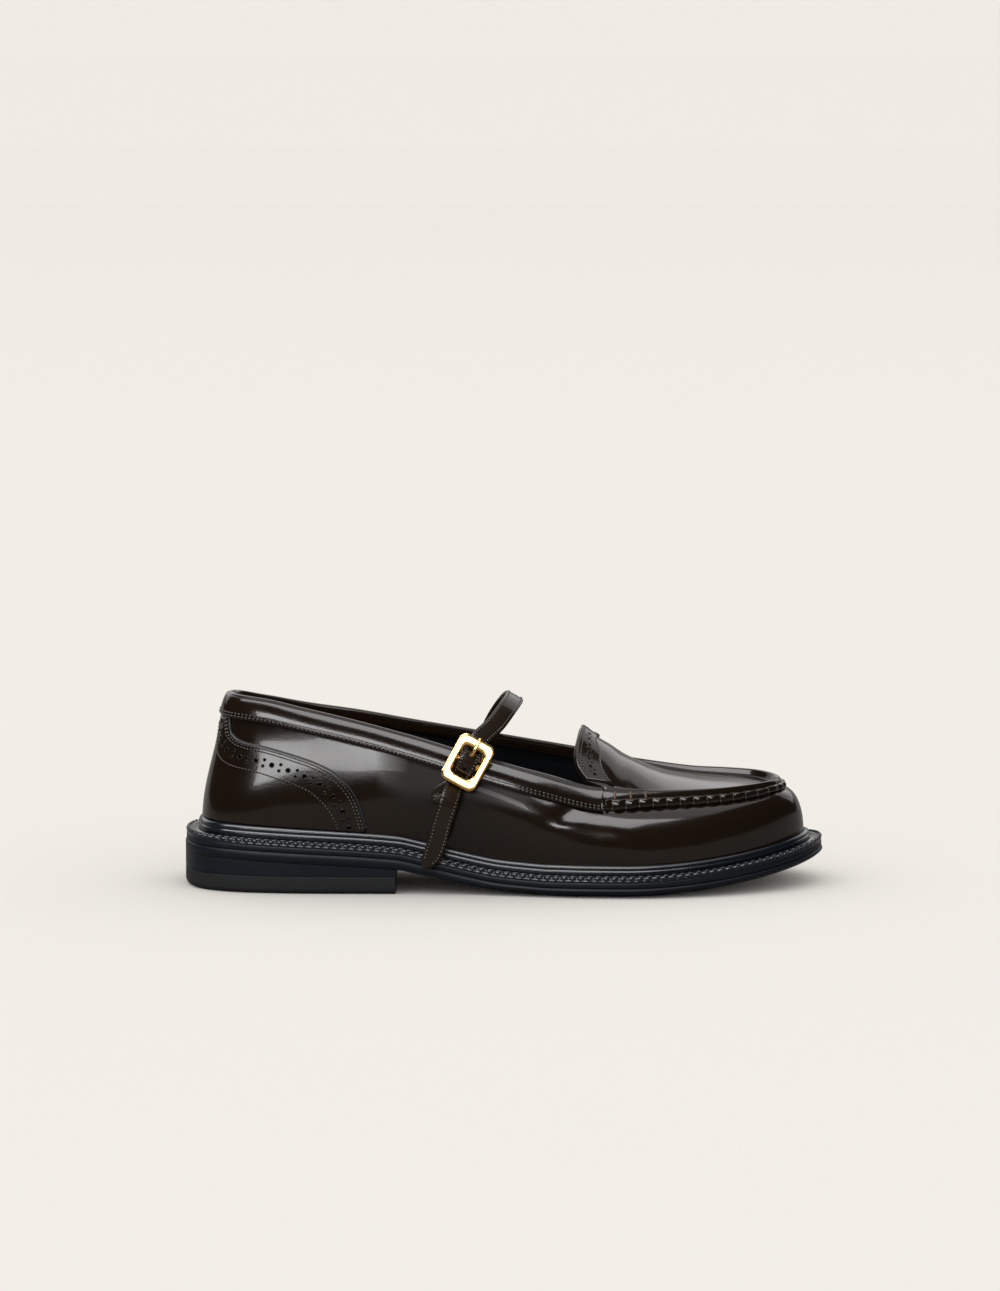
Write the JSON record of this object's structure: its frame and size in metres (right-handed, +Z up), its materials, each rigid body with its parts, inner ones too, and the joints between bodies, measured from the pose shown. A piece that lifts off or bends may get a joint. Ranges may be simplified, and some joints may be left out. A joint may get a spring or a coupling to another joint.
{
  "type": "strap loafer shoe",
  "caption": "Polished leather loafer with a raised apron seam, punched heel counter, buckled instep strap, welted sole and low stacked heel.",
  "frame": {"origin": "on the floor under the middle of the heel's flat underside, midway between its back and its breast on the shoe's length line", "axes": "+X to the toe, +Y to the inner side of the foot, +Z up"},
  "size_m": [0.268, 0.0956, 0.0805],
  "materials": {
    "upper_leather": "polished very dark brown calf leather with a high wax gloss",
    "strap_leather": "polished very dark brown calf leather, satin gloss, black on its back",
    "polished_brass": "polished gold-coloured brass",
    "sole_leather": "near-black dyed and burnished edge, satin",
    "heel_rubber": "matt black rubber",
    "lining_leather": "smooth black lining leather, satin"
  },
  "bodies": {
    "root": {"heel_top_lift": "heel_rubber", "heel_stack": "sole_leather", "outsole": "sole_leather", "midsole": "sole_leather", "welt": "sole_leather", "rand": "sole_leather", "insole": "lining_leather", "upper": "upper_leather", "tongue": "upper_leather", "moc_seam": "upper_leather", "collar_band": "upper_leather", "counter": "upper_leather", "tongue_strip": "upper_leather", "strap": "strap_leather", "buckle_tab": "strap_leather", "buckle_frame": "polished_brass", "buckle_prong": "polished_brass"}
  },
  "joints": []
}
